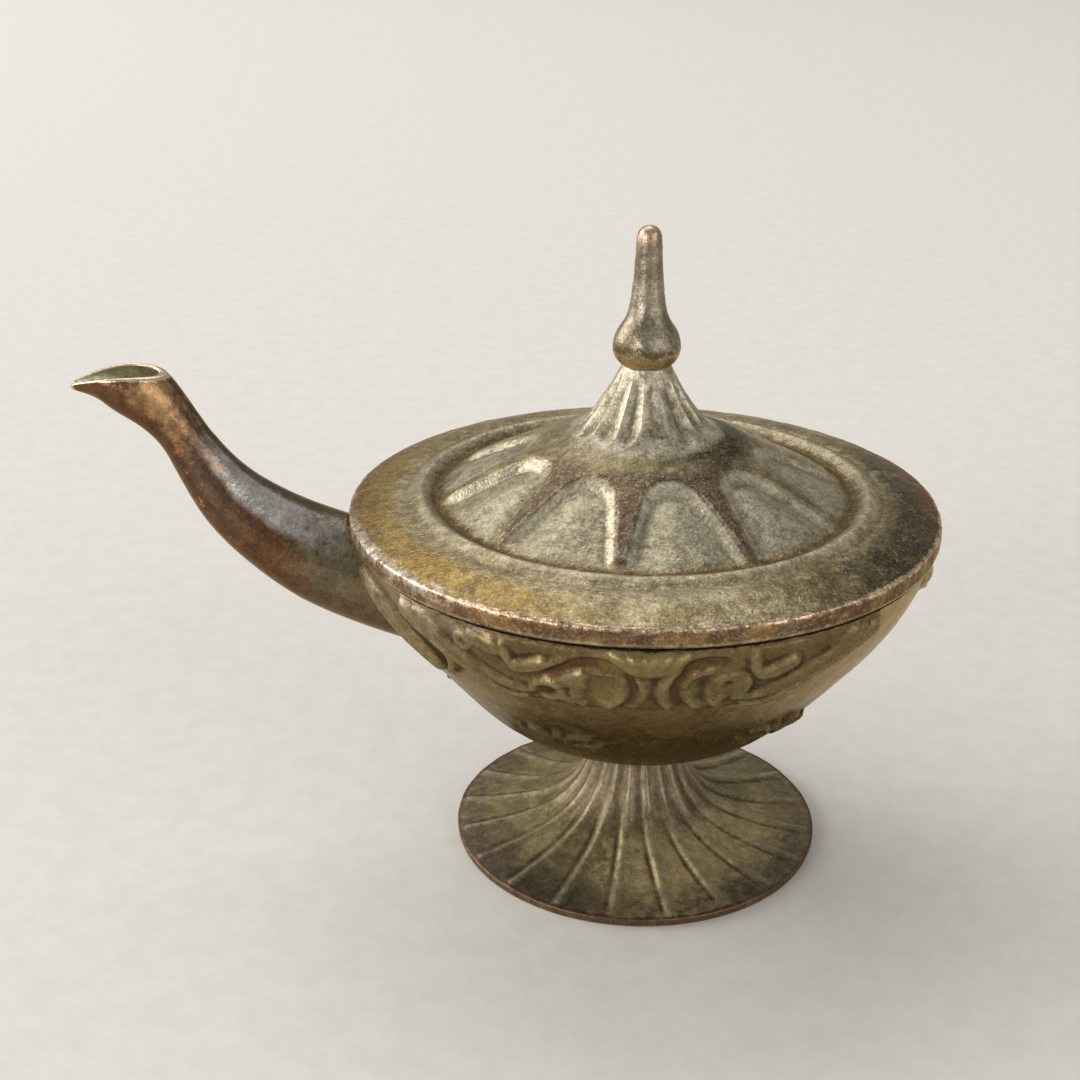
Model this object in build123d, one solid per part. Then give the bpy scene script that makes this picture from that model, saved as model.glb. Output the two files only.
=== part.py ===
from build123d import *
import os
from math import pi, tan

# Genie oil lamp in millimetres. +Z is up and the spout points along -X.
# The origin is on the lamp's upright axis, in the plane that the foot rests on.

# Foot: a hollow trumpet with raised ribs
FOOT_RADIUS = 28.15
FOOT_EDGE = 1.2
FOOT_HEIGHT = 19.0
FOOT_FLARE = 7.0
FOOT_LAND = 2.5
NECK_RADIUS = 5.6
HOLLOW_HEIGHT = 9.0
WASHER_ROOM = 1.1
HOLLOW_FLARE = 3.0
FOOT_RIBS = 20
FOOT_RIB_TURN = 8.5
FOOT_RIB_WIDTH = 0.9
FOOT_RIB_HEIGHT = 0.45
FOOT_RIB_SINK = 0.5
FOOT_RIB_SETBACK = 0.9

# Bowl: its rim and depth, then its outline as insets from the rim and rises from its seat on the foot
BOWL_RIM_RADIUS = 42.3
BOWL_DEPTH = 33.1
BOWL_SEAT_RADIUS = 8.0
BOWL_HIP_INSET = 20.3
BOWL_HIP_RISE = 4.4
BOWL_FLANK_INSET = 11.8
BOWL_FLANK_RISE = 13.2
BOWL_SHOULDER_INSET = 3.3
BOWL_SHOULDER_DROP = 8.4
BOWL_RIM_LEAN = 0.2
BOWL_WALL = 2.2
BOWL_MOUTH_WALL = 2.4
SEAT_STEP = 0.4
SEAT_WIDTH = 1.5

# Spout stations, each (reach past the bowl's rim, rise above that rim, outer radius, bore radius)
SPOUT_STATIONS = [
    (-26.0, -16.8, 7.9, 2.8),
    (-6.0, -10.0, 7.8, 2.8),
    (5.2, -5.6, 7.2, 2.8),
    (11.9, -1.6, 6.2, 3.4),
    (18.2, 3.9, 5.0, 3.4),
    (22.9, 10.9, 3.75, 2.7),
    (25.3, 14.9, 3.6, 2.6),
    (27.7, 18.0, 4.1, 3.2),
    (30.6, 20.6, 4.5, 3.7),
    (34.9, 22.0, 3.6, 2.8),
    (39.6, 21.1, 1.0, 0.4),
]
SPOUT_SECTIONS = 18
SPOUT_MOUTH_BACK = (24.0, 22.6)
SPOUT_MOUTH_MIDDLE = (32.5, 22.7)
SPOUT_MOUTH_TIP = (41.0, 20.2)
SPOUT_CUT_REACH = 10.0
SPOUT_BORE_SETBACK = 1.3
SPIGOT_RADIUS = 3.7
SPIGOT_CLEARANCE = 0.1
SADDLE_GAP = 0.05
SOLDER_WIDTH = 1.0
SOLDER_THICKNESS = 0.8

# Lid: a flat rim band, a bead, a star of ribs between sunk arches, and a fluted cone
LID_OVERHANG = 0.7
LID_BAND = 2.9
LID_BAND_ROUND = 0.5
LID_WALL = 2.0
LIP_CLEARANCE = 0.4
LIP_WALL = 1.8
LIP_DEPTH = 2.4
LIP_ROOM = 1.0
BEAD_SETBACK = 10.4
BEAD_HALF_WIDTH = 1.9
BEAD_BASE_RISE = 4.6
BEAD_HEIGHT = 0.9
GROOVE_WIDTH = 0.8
DOME_BASE_RISE = 4.9
DOME_TOP_RISE = 13.6
DOME_CROWN = 0.3
ARCHES = 10
ARCH_TURN = 26.5
ARCH_DEPTH = 0.8
ARCH_TOP_RADIUS = 15.5
ARCH_CURVE = 3.2
ARCH_BASE_SETBACK = 0.9
STAR_RIB_TIP = 1.6
CONE_BASE_RADIUS = 10.2
CONE_TOP_RADIUS = 3.4
CONE_HEIGHT = 10.2
CONE_FLARE = 0.45
CONE_FLUTES = 14
FLUTE_TURN = 8.6
FLUTE_RIDGE_WIDTH = 0.9
FLUTE_RIDGE_HEIGHT = 0.5
FLUTE_RIDGE_SINK = 0.6
BOSS_RADIUS = 7.0

# Finial: a bulb and a spike on a threaded stud
BULB_RADIUS = 4.8
BULB_MIDDLE = 2.8
BULB_TOP_RADIUS = 3.9
BULB_HEIGHT = 5.4
SPIKE_RADIUS = 1.75
SPIKE_HEIGHT = 18.0
SPIKE_TIP = 1.6
SPIKE_TAPER = 0.05
STUD_RADIUS = 1.5
STUD_TAIL = 0.9

# Fasteners
SCREW_RADIUS = 2.0
SCREW_HEAD_RADIUS = 3.7
SCREW_HEAD_HEIGHT = 2.2
SCREW_SLOT_WIDTH = 1.0
SCREW_SLOT_DEPTH = 1.0
SCREW_TAIL = 1.0
HOLE_CLEARANCE = 0.15
THREAD_CLEARANCE = 0.05
WASHER_THICKNESS = 0.8
WASHER_RADIUS = 4.5
NUT_FLATS = 7.0
NUT_HEIGHT = 3.2
FINIAL_WASHER_RADIUS = 3.6
FINIAL_WASHER_THICKNESS = 0.5
FINIAL_NUT_FLATS = 5.5
FINIAL_NUT_HEIGHT = 2.4

# Heights and radii that follow from the sizes above
RIM_HEIGHT = FOOT_HEIGHT + BOWL_DEPTH
SEAT_HEIGHT = RIM_HEIGHT + SEAT_STEP
MOUTH_RADIUS = BOWL_RIM_RADIUS - BOWL_MOUTH_WALL
FLOOR_HEIGHT = FOOT_HEIGHT + BOWL_WALL
LID_RADIUS = BOWL_RIM_RADIUS + LID_OVERHANG
LIP_RADIUS = MOUTH_RADIUS - LIP_CLEARANCE
BEAD_RADIUS = LID_RADIUS - BEAD_SETBACK
DOME_RADIUS = BEAD_RADIUS - BEAD_HALF_WIDTH - GROOVE_WIDTH
ARCH_BASE_RADIUS = DOME_RADIUS - ARCH_BASE_SETBACK
DOME_BASE = SEAT_HEIGHT + DOME_BASE_RISE
DOME_TOP = SEAT_HEIGHT + DOME_TOP_RISE
CONE_TOP = DOME_TOP + CONE_HEIGHT
BOSS_HEIGHT = DOME_TOP - LID_WALL
OUTLINE_STEPS = 8


# Shared shapes


def at(radius, height):
    """A point of the half-section through the lamp's axis."""
    return Vector(radius, 0, height)


def turned(*curves):
    """The solid that a closed half-section makes when it is turned about the axis."""
    edges = [edge for curve in curves for edge in curve.edges()]
    return revolve(make_face(edges), Axis.Z)


def trumpet(wide, narrow, low, high, flare):
    """Outline points of a trumpet from its wide low end to its narrow high end."""
    points = []
    for step in range(OUTLINE_STEPS + 1):
        share = (step / OUTLINE_STEPS) ** 2
        radius = narrow + (wide - narrow) * (1 - share) / (1 + flare * share)
        points.append(at(radius, low + (high - low) * share))
    return points


def around(shape, count, turn):
    """Copies of a shape, evenly spaced around the axis from a first turn in degrees."""
    return [Rot(0, 0, turn + 360 / count * index) * shape for index in range(count)]


def fins(outline, raised, sunk, width, count, turn):
    """Thin ribs around the axis that follow an outline, from sunk below it to raised above it."""
    top = [point + raised for point in outline]
    bottom = [point - sunk for point in outline]
    edges = [Spline(*top), Line(top[-1], bottom[-1]), Spline(*bottom), Line(bottom[0], top[0])]
    fin = extrude(make_face(edges), amount=width / 2, both=True)
    return around(fin, count, turn)


def washer(radius, bore, thickness):
    return extrude(Circle(radius) - Circle(bore), amount=thickness)


def nut(flats, bore, height):
    return extrude(RegularPolygon(flats / 2, 6, major_radius=False) - Circle(bore), amount=height)


# Foot


def pedestal_foot():
    outline = trumpet(FOOT_RADIUS, NECK_RADIUS, FOOT_EDGE, FOOT_HEIGHT, FOOT_FLARE)
    body = turned(
        Polyline(at(0, 0), at(FOOT_RADIUS, 0), outline[0]),
        Spline(*outline),
        Polyline(outline[-1], at(0, FOOT_HEIGHT), at(0, 0)),
    )
    spread = at(FOOT_RIB_HEIGHT, FOOT_RIB_HEIGHT)
    sunk = at(FOOT_RIB_SINK, FOOT_RIB_SINK)
    ribs = fins(outline, spread, sunk, FOOT_RIB_WIDTH, FOOT_RIBS, FOOT_RIB_TURN)
    rib_height = FOOT_HEIGHT - FOOT_RIB_SETBACK
    limit = extrude(Circle(FOOT_RADIUS - FOOT_RIB_SETBACK), amount=rib_height)
    body += [rib & limit for rib in ribs]
    hollow_top = WASHER_RADIUS + WASHER_ROOM
    hollow_outline = trumpet(FOOT_RADIUS - FOOT_LAND, hollow_top, 0, HOLLOW_HEIGHT, HOLLOW_FLARE)
    hollow = turned(
        Line(at(0, 0), hollow_outline[0]),
        Spline(*hollow_outline),
        Polyline(hollow_outline[-1], at(0, HOLLOW_HEIGHT), at(0, 0)),
    )
    bore = extrude(Circle(SCREW_RADIUS + HOLE_CLEARANCE), amount=FOOT_HEIGHT)
    return body - hollow - bore


# Bowl


def bowl_outline(inset):
    """Points of the bowl's outer outline, moved inwards by an inset, from its seat to its shoulder."""
    seat = at(BOWL_SEAT_RADIUS, FOOT_HEIGHT)
    hip = at(BOWL_RIM_RADIUS - BOWL_HIP_INSET, FOOT_HEIGHT + BOWL_HIP_RISE)
    flank = at(BOWL_RIM_RADIUS - BOWL_FLANK_INSET, FOOT_HEIGHT + BOWL_FLANK_RISE)
    shoulder = at(BOWL_RIM_RADIUS - BOWL_SHOULDER_INSET, RIM_HEIGHT - BOWL_SHOULDER_DROP)
    points = [seat, hip, flank, shoulder, at(BOWL_RIM_RADIUS, RIM_HEIGHT)]
    moved = [seat + at(0, inset)]
    for before, point, after in zip(points, points[1:], points[2:]):
        run = (after - before).normalized()
        moved.append(point + at(-run.Z, run.X) * inset)
    return moved


def bowl_skin(inset, rim):
    """The bowl's outline at an inset, ending at a given rim point."""
    return Spline(*bowl_outline(inset), rim, tangents=[at(1, 0), at(BOWL_RIM_LEAN, 1)])


def bowl_space(inset):
    """The space inside the bowl's wall, drawn in by an inset from the outer outline."""
    low = FOOT_HEIGHT + inset
    radius = MOUTH_RADIUS + BOWL_WALL - inset
    rim = at(radius, SEAT_HEIGHT - LIP_DEPTH - LIP_ROOM)
    return turned(
        Line(at(0, low), at(BOWL_SEAT_RADIUS, low)),
        bowl_skin(inset, rim),
        Polyline(rim, at(radius, SEAT_HEIGHT), at(0, SEAT_HEIGHT), at(0, low)),
    )


def bowl_envelope(gap):
    """The bowl filled solid and grown by a gap, with the room above it that the lid lifts through."""
    low = FOOT_HEIGHT - gap
    rim = at(BOWL_RIM_RADIUS + gap, RIM_HEIGHT)
    lid_room = LID_RADIUS + LIP_CLEARANCE
    return turned(
        Line(at(0, low), at(BOWL_SEAT_RADIUS, low)),
        bowl_skin(-gap, rim),
        Polyline(rim, at(lid_room, RIM_HEIGHT), at(lid_room, CONE_TOP), at(0, CONE_TOP), at(0, low)),
    )


def bowl():
    rim = at(BOWL_RIM_RADIUS, RIM_HEIGHT)
    seat_radius = MOUTH_RADIUS + SEAT_WIDTH
    solid = turned(
        Line(at(0, FOOT_HEIGHT), at(BOWL_SEAT_RADIUS, FOOT_HEIGHT)),
        bowl_skin(0, rim),
        Polyline(
            rim,
            at(seat_radius, RIM_HEIGHT),
            at(seat_radius, SEAT_HEIGHT),
            at(0, SEAT_HEIGHT),
            at(0, FOOT_HEIGHT),
        ),
    )
    screw_hole = extrude(Circle(SCREW_RADIUS + HOLE_CLEARANCE), amount=FLOOR_HEIGHT)
    return solid - bowl_space(BOWL_WALL) - screw_hole - spout_root(SPIGOT_RADIUS + SPIGOT_CLEARANCE)


# Spout


def spout_point(reach, rise):
    return at(-BOWL_RIM_RADIUS - reach, RIM_HEIGHT + rise)


def spout_tube(radii, setback):
    """A curved tube through the spout's stations, drawn back at its tip by a setback along the spout."""
    centres = [spout_point(reach, rise) for reach, rise, _, _ in SPOUT_STATIONS]
    centres[-1] += (centres[-2] - centres[-1]).normalized() * setback
    runs = [0]
    for before, after in zip(centres, centres[1:]):
        runs.append(runs[-1] + (after - before).length)
    path = Spline(*centres)
    sections = []
    for step in range(SPOUT_SECTIONS):
        share = step / (SPOUT_SECTIONS - 1)
        plane = Plane(path @ share, x_dir=(0, 1, 0), z_dir=path % share)
        sections.append(plane * Circle(between(runs, radii, share * runs[-1])))
    return loft(sections)


def between(places, values, place):
    """The value at a place, on straight runs between the values at the given places."""
    for low, high, first, second in zip(places, places[1:], values, values[1:]):
        if place <= high:
            return first + (second - first) * (place - low) / (high - low)
    return values[-1]


def spout_root(radius):
    """A straight rod along the spout's root, through the wall of the bowl."""
    inner = spout_point(*SPOUT_STATIONS[0][:2])
    outer = spout_point(*SPOUT_STATIONS[2][:2])
    plane = Plane(outer, x_dir=(0, 1, 0), z_dir=inner - outer)
    return extrude(plane * Circle(radius), amount=(inner - outer).length)


def spout():
    body = spout_tube([station[2] for station in SPOUT_STATIONS], 0)
    back, middle, tip = (
        spout_point(*place) for place in (SPOUT_MOUTH_BACK, SPOUT_MOUTH_MIDDLE, SPOUT_MOUTH_TIP)
    )
    above = at(0, 2 * SPOUT_CUT_REACH)
    edges = [
        ThreePointArc(back, middle, tip),
        Line(tip, tip + above),
        Line(tip + above, back + above),
        Line(back + above, back),
    ]
    body -= extrude(make_face(edges), amount=SPOUT_CUT_REACH, both=True)
    body -= bowl_envelope(SADDLE_GAP)
    body += spout_root(SPIGOT_RADIUS) - bowl_space(BOWL_WALL + SOLDER_THICKNESS)
    bore = spout_tube([station[3] for station in SPOUT_STATIONS], SPOUT_BORE_SETBACK)
    return body - bore


def spout_solder_ring():
    pad = spout_root(SPIGOT_RADIUS + SPIGOT_CLEARANCE + SOLDER_WIDTH)
    pad &= bowl_space(BOWL_WALL) - bowl_space(BOWL_WALL + SOLDER_THICKNESS)
    return pad - spout_root(SPIGOT_RADIUS + SADDLE_GAP)


# Screw stack that holds the bowl on the foot


def pedestal_washer():
    low = HOLLOW_HEIGHT - WASHER_THICKNESS
    return Pos(0, 0, low) * washer(WASHER_RADIUS, SCREW_RADIUS + HOLE_CLEARANCE, WASHER_THICKNESS)


def bowl_washer():
    return Pos(0, 0, FLOOR_HEIGHT) * washer(WASHER_RADIUS, SCREW_RADIUS + HOLE_CLEARANCE, WASHER_THICKNESS)


def bowl_nut():
    low = FLOOR_HEIGHT + WASHER_THICKNESS
    return Pos(0, 0, low) * nut(NUT_FLATS, SCREW_RADIUS + THREAD_CLEARANCE, NUT_HEIGHT)


def pedestal_screw():
    head_top = HOLLOW_HEIGHT - WASHER_THICKNESS
    head_low = head_top - SCREW_HEAD_HEIGHT
    length = FLOOR_HEIGHT + WASHER_THICKNESS + NUT_HEIGHT + SCREW_TAIL - head_top
    head = Pos(0, 0, head_low) * extrude(Circle(SCREW_HEAD_RADIUS), amount=SCREW_HEAD_HEIGHT)
    slot = extrude(Rectangle(2 * SCREW_HEAD_RADIUS, SCREW_SLOT_WIDTH), amount=SCREW_SLOT_DEPTH)
    shank = Pos(0, 0, head_top) * extrude(Circle(SCREW_RADIUS), amount=length)
    return head - Pos(0, 0, head_low) * slot + shank


# Lid


def dome_curve(drop):
    """The dome's outline, lowered by a drop, from its foot inside the bead to the cone."""
    low = at(DOME_RADIUS, DOME_BASE - drop)
    high = at(CONE_BASE_RADIUS, DOME_TOP - drop)
    middle = (low + high) / 2 + at(DOME_CROWN, DOME_CROWN)
    return ThreePointArc(low, middle, high)


def cone_outline():
    return trumpet(CONE_BASE_RADIUS, CONE_TOP_RADIUS, DOME_TOP, CONE_TOP, CONE_FLARE)


def lid_blank():
    """The lid before its arches are sunk and its cone is fluted."""
    band_top = SEAT_HEIGHT + LID_BAND
    bead_base = SEAT_HEIGHT + BEAD_BASE_RISE
    bead_outer = at(BEAD_RADIUS + BEAD_HALF_WIDTH, bead_base)
    bead_inner = at(BEAD_RADIUS - BEAD_HALF_WIDTH, bead_base)
    lip_bottom = SEAT_HEIGHT - LIP_DEPTH
    lip_inner = LIP_RADIUS - LIP_WALL
    ceiling = at(DOME_RADIUS, DOME_BASE - LID_WALL)
    cone = cone_outline()
    return turned(
        Polyline(at(0, BOSS_HEIGHT), at(BOSS_RADIUS, BOSS_HEIGHT), ceiling),
        Polyline(ceiling, at(lip_inner, SEAT_HEIGHT + LID_BAND - LID_WALL), at(lip_inner, lip_bottom)),
        Polyline(at(lip_inner, lip_bottom), at(LIP_RADIUS, lip_bottom), at(LIP_RADIUS, SEAT_HEIGHT)),
        Polyline(
            at(LIP_RADIUS, SEAT_HEIGHT),
            at(LID_RADIUS, SEAT_HEIGHT),
            at(LID_RADIUS, band_top - LID_BAND_ROUND),
            at(LID_RADIUS - LID_BAND_ROUND, band_top),
            bead_outer,
        ),
        ThreePointArc(bead_outer, at(BEAD_RADIUS, bead_base + BEAD_HEIGHT), bead_inner),
        Line(bead_inner, at(DOME_RADIUS, DOME_BASE)),
        dome_curve(0),
        Spline(*cone),
        Polyline(cone[-1], at(0, CONE_TOP), at(0, BOSS_HEIGHT)),
    )


def sunk_arches():
    """The ten arch-shaped recesses between the star's ribs."""
    pitch = 2 * pi / ARCHES
    far = 2 * ARCH_BASE_RADIUS
    half_base = ARCH_BASE_RADIUS * tan(pitch / 2) - STAR_RIB_TIP / 2
    apex = ARCH_TOP_RADIUS + ARCH_CURVE
    widening = (half_base - ARCH_CURVE) / (ARCH_BASE_RADIUS - apex)
    spread = ARCH_CURVE + widening * (far - apex)
    top = Pos(apex, 0) * Circle(ARCH_CURVE)
    foot = Line((far, -spread), (far, spread))
    outline = make_hull(top.edges() + foot.edges()) & Circle(ARCH_BASE_RADIUS)
    arch = Pos(0, 0, SEAT_HEIGHT) * extrude(outline, amount=CONE_TOP - SEAT_HEIGHT)
    low = at(DOME_RADIUS, DOME_BASE - ARCH_DEPTH)
    high = at(CONE_BASE_RADIUS, DOME_TOP - ARCH_DEPTH)
    floor = turned(
        dome_curve(ARCH_DEPTH),
        Polyline(high, at(0, high.Z), at(0, SEAT_HEIGHT), at(DOME_RADIUS, SEAT_HEIGHT), low),
    )
    arch -= floor
    return around(arch, ARCHES, ARCH_TURN)


def lid():
    raised = at(FLUTE_RIDGE_HEIGHT, 0)
    sunk = at(FLUTE_RIDGE_SINK, 0)
    ridges = fins(cone_outline(), raised, sunk, FLUTE_RIDGE_WIDTH, CONE_FLUTES, FLUTE_TURN)
    bore = extrude(Circle(STUD_RADIUS + HOLE_CLEARANCE), amount=CONE_TOP)
    return lid_blank() - sunk_arches() + ridges - bore


# Finial and its fastening under the lid


def finial():
    low = at(CONE_TOP_RADIUS, CONE_TOP)
    waist = at(BULB_TOP_RADIUS, CONE_TOP + BULB_HEIGHT)
    shoulder = at(SPIKE_RADIUS, CONE_TOP + SPIKE_HEIGHT)
    tip = at(0, CONE_TOP + SPIKE_HEIGHT + SPIKE_TIP)
    knob = turned(
        Line(at(0, CONE_TOP), low),
        ThreePointArc(low, at(BULB_RADIUS, CONE_TOP + BULB_MIDDLE), waist),
        Spline(waist, shoulder, tangents=[at(-1, 1), at(-SPIKE_TAPER, 1)]),
        Spline(shoulder, tip, tangents=[at(0, 1), at(-1, 0)]),
        Line(tip, at(0, CONE_TOP)),
    )
    stud_low = BOSS_HEIGHT - FINIAL_WASHER_THICKNESS - FINIAL_NUT_HEIGHT - STUD_TAIL
    return knob + Pos(0, 0, stud_low) * extrude(Circle(STUD_RADIUS), amount=CONE_TOP - stud_low)


def finial_washer():
    low = BOSS_HEIGHT - FINIAL_WASHER_THICKNESS
    flat = washer(FINIAL_WASHER_RADIUS, STUD_RADIUS + HOLE_CLEARANCE, FINIAL_WASHER_THICKNESS)
    return Pos(0, 0, low) * flat


def finial_nut():
    low = BOSS_HEIGHT - FINIAL_WASHER_THICKNESS - FINIAL_NUT_HEIGHT
    return Pos(0, 0, low) * nut(FINIAL_NUT_FLATS, STUD_RADIUS + THREAD_CLEARANCE, FINIAL_NUT_HEIGHT)


# Write every piece

PIECES = [
    pedestal_foot,
    pedestal_washer,
    pedestal_screw,
    bowl,
    bowl_washer,
    bowl_nut,
    spout,
    spout_solder_ring,
    lid,
    finial,
    finial_washer,
    finial_nut,
]

os.makedirs("parts", exist_ok=True)
for piece in PIECES:
    export_step(piece(), f"parts/{piece.__name__}.step")
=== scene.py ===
from math import cos, pi, radians, sin

import bpy
import numpy as np
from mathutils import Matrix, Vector, noise


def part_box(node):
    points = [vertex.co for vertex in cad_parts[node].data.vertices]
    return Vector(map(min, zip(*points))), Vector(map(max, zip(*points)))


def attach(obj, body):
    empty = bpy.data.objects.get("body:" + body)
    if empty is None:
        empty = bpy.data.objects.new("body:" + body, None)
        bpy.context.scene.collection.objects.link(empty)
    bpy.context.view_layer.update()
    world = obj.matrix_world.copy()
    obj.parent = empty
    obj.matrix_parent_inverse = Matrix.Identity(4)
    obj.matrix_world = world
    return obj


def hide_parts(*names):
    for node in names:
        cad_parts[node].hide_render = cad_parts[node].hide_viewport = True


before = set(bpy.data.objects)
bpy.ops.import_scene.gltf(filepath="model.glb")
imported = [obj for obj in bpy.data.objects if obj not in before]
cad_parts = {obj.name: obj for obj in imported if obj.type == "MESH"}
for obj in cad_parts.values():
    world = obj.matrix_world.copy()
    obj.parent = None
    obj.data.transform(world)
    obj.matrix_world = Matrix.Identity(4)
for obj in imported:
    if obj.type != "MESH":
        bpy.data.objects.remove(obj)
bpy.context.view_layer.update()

scene = bpy.context.scene

# Genie oil lamp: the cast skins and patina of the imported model.
# Sizes are in millimetres in the model's own frame, and meshes are written in metres.
MM = 0.001


def top_of(node):
    """The largest Y and Z of a node, which are a turned piece's radius and its top."""
    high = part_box(node)[1] / MM
    return high.y, high.z


def bottom_of(node):
    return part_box(node)[0].z / MM


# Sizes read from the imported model
FOOT_RADIUS, FOOT_HEIGHT = top_of("pedestal_foot")
BOWL_RADIUS, SEAT_HEIGHT = top_of("bowl")
LID_RADIUS, CONE_TOP = top_of("lid")
FINIAL_TOP = top_of("finial")[1]
LIP_LOW = bottom_of("lid")
STUD_LOW = bottom_of("finial")
HOLLOW_HEIGHT = top_of("pedestal_washer")[1]
FLOOR_HEIGHT = bottom_of("bowl_washer")
BOSS_HEIGHT = top_of("finial_washer")[1]

# Foot
FOOT_EDGE = 1.2
FOOT_FLARE = 7.0
FOOT_LAND = 2.5
NECK_RADIUS = 5.6
HOLLOW_RADIUS = 5.6
HOLLOW_FLARE = 3.0
SCREW_HOLE = 2.15
FOOT_RIBS = 20
FOOT_RIB_TURN = 8.5

# Bowl
RIM_STEP = 0.4
RIM_HEIGHT = SEAT_HEIGHT - RIM_STEP
BOWL_WALL = 2.2
MOUTH_RADIUS = BOWL_RADIUS - 2.4
LEDGE_RADIUS = MOUTH_RADIUS + 1.5
MOUTH_DEPTH = 3.4
BOWL_SEAT = (8.0, FOOT_HEIGHT)
BOWL_HIP = (22.0, 23.4)
BOWL_FLANK = (30.5, 32.2)
BOWL_SHOULDER = (39.0, 43.7)
PANELS = 2
PANEL_TURN = -92.0
SIDE_TURN = 22.5
BLADE_SHIFT = 3.5
SPRAYS = 6
SPRAY_TURN = -114.5
BAND_DEPTH = 13.0
BAND_RADIUS = 0.945 * BOWL_RADIUS
SPRAY_DEPTH = 25.0
SPRAY_HALF = 5.0
PLATE_HEIGHT = 0.3
EYE_HALF = (2.5, 3.6)

# Scrolls' eyes and the channels round them: aside from a palmette's axis, and down from the rim
LEFT_BEND = [(16.4, 6.6), (13.0, 5.3), (9.6, 3.5), (6.6, 2.7), (4.2, 3.5), (2.6, 5.4)]
LEFT_BEND += [(2.1, 7.8), (2.7, 10.4), (4.2, 12.0)]
RIGHT_BEND = [(9.4, 2.3), (7.2, 2.2), (5.4, 2.8), (4.2, 4.3), (3.8, 6.6), (4.0, 9.2)]
RIGHT_BEND += [(5.0, 11.3), (6.8, 12.3)]
LEFT_EYE = (5.2, 7.6)
RIGHT_EYE = (7.0, 7.3)

# Spout stations: along X, height, outer radius, bore radius
SPOUT_STATIONS = [
    (-16.3, 35.3, 7.9, 2.8),
    (-36.3, 42.1, 7.8, 2.8),
    (-47.5, 46.5, 7.2, 2.8),
    (-54.2, 50.5, 6.2, 3.4),
    (-60.5, 56.0, 5.0, 3.4),
    (-65.2, 63.0, 3.75, 2.7),
    (-67.6, 67.0, 3.6, 2.6),
    (-70.0, 70.1, 4.1, 3.2),
    (-72.9, 72.7, 4.5, 3.7),
    (-77.2, 74.1, 3.6, 2.8),
    (-81.9, 73.2, 1.0, 0.4),
]
MOUTH_ARC = [(-66.3, 73.9), (-74.8, 74.85), (-83.3, 72.5)]
SPIGOT_RADIUS = 3.7
SPIGOT_HOLE = 3.8
SADDLE_GAP = 0.05
SOLDER_FACE = BOWL_WALL + 0.8
STATION_RUN = 9.0
MOUTH_START = 0.6
MOUTH_LIP = 0.22
LID_ROOM = LID_RADIUS + 0.4

# Lid
STUD_HOLE = 1.65
CONE_RADIUS = 10.2
CONE_TOP_RADIUS = 3.4
CONE_FLARE = 0.45
DOME_TOP = 66.1
GROOVE = (30.5, 56.7)
BEAD_CREST = (32.5, 57.75)
BEAD_CREASE = (34.7, 56.85)
BAND_TOP = SEAT_HEIGHT + 2.9
LIP_RADIUS = 39.5
LIP_INNER = 37.7
CEILING = (29.9, 55.4)
BOSS_RADIUS = 7.0
ARCHES = 10
ARCH_TURN = 26.5
ARCH_LEAN = radians(24)
ARCH_TOP, ARCH_CURVE = 15.0, 4.6
ARCH_FLOOR_TOP, ARCH_FLOOR_CURVE = 17.8, 3.65
ARCH_DEPTH = 0.95
CONE_FILLET = 68.0
FLUTES = 14
FLUTE_TURN = 21.5

# Finial
FINIAL_BASE = 3.5
STUD_RADIUS = 1.5

# Spacings and counts of the meshes' rows and columns: fine where it shows, coarse where it is hidden
DENSE = 0.1
FINIAL_STEP = 0.2
FINE = 0.28
FOOT_STEP = 0.33
SLOPE_STEP = 0.36
SHOWN = 0.4
HIDDEN = 2.0
FOOT_COLUMNS = BOWL_COLUMNS = 720
LID_COLUMNS = 560
FINIAL_COLUMNS = 160
SPOUT_COLUMNS = 144
SPOUT_ROW_SHARE = 0.72
CURVE_STEPS = 24
TRUMPET_POINTS = 60
STROKE_STEP = 0.45
DRILL_SIDES = 64


# Curves and fields


def rise(value, low, high):
    """0 at low, 1 at high, and a smooth rise between."""
    share = np.clip((value - low) / (high - low), 0, 1)
    return share * share * (3 - 2 * share)


def hump(value, middle, width):
    return np.exp(-(((value - middle) / width) ** 2))


def highest(*forms):
    return np.maximum.reduce(forms)


def blurred(field, axis):
    """A field softened from each row or column to the next."""
    return (np.roll(field, 1, axis) + 2 * field + np.roll(field, -1, axis)) / 4


def headings(line):
    """The direction of a line at each of its points."""
    run = np.gradient(line, axis=0)
    return run / np.linalg.norm(run, axis=1)[:, None]


def evenly(points, step):
    """Points about a step apart along a line through points."""
    points = np.array(points, float)
    run = np.concatenate([[0], np.cumsum(np.linalg.norm(np.diff(points, axis=0), axis=1))])
    places = np.linspace(0, run[-1], max(2, round(run[-1] / step) + 1))
    return np.stack([np.interp(places, run, axis) for axis in points.T], 1)


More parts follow.
